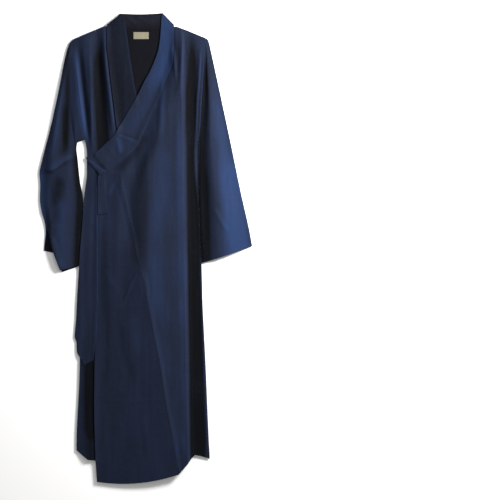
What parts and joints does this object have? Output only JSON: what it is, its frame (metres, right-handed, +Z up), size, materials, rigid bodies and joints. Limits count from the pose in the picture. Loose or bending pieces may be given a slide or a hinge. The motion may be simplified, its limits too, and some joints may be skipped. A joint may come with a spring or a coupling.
{
  "type": "taoist robe",
  "caption": "Long wrap robe laid on its back, front up, with a band collar that crosses to a side tie, wide open sleeves and a hanging tie ribbon.",
  "frame": {"origin": "middle of the outline's box, on the surface that the robe lies on", "axes": "+X to the right of the robe as it is seen from the front, +Y from the hem to the collar, +Z up from the surface"},
  "size_m": [0.5872, 1.2989, 0.0261],
  "materials": {
    "cloth": "plain weave with a soft sheen",
    "cloth_inside": "plain weave, wrong side, matt",
    "label": "woven satin label, blank"
  },
  "bodies": {
    "root": {"back": "cloth_inside", "inner_front": "cloth", "outer_front": "cloth", "sleeve_left": "cloth", "sleeve_right": "cloth", "collar_back": "cloth_inside", "collar_under": "cloth", "collar_over": "cloth", "tie_long": "cloth", "tie_short": "cloth", "tie_strap": "cloth", "label": "label"}
  },
  "joints": []
}
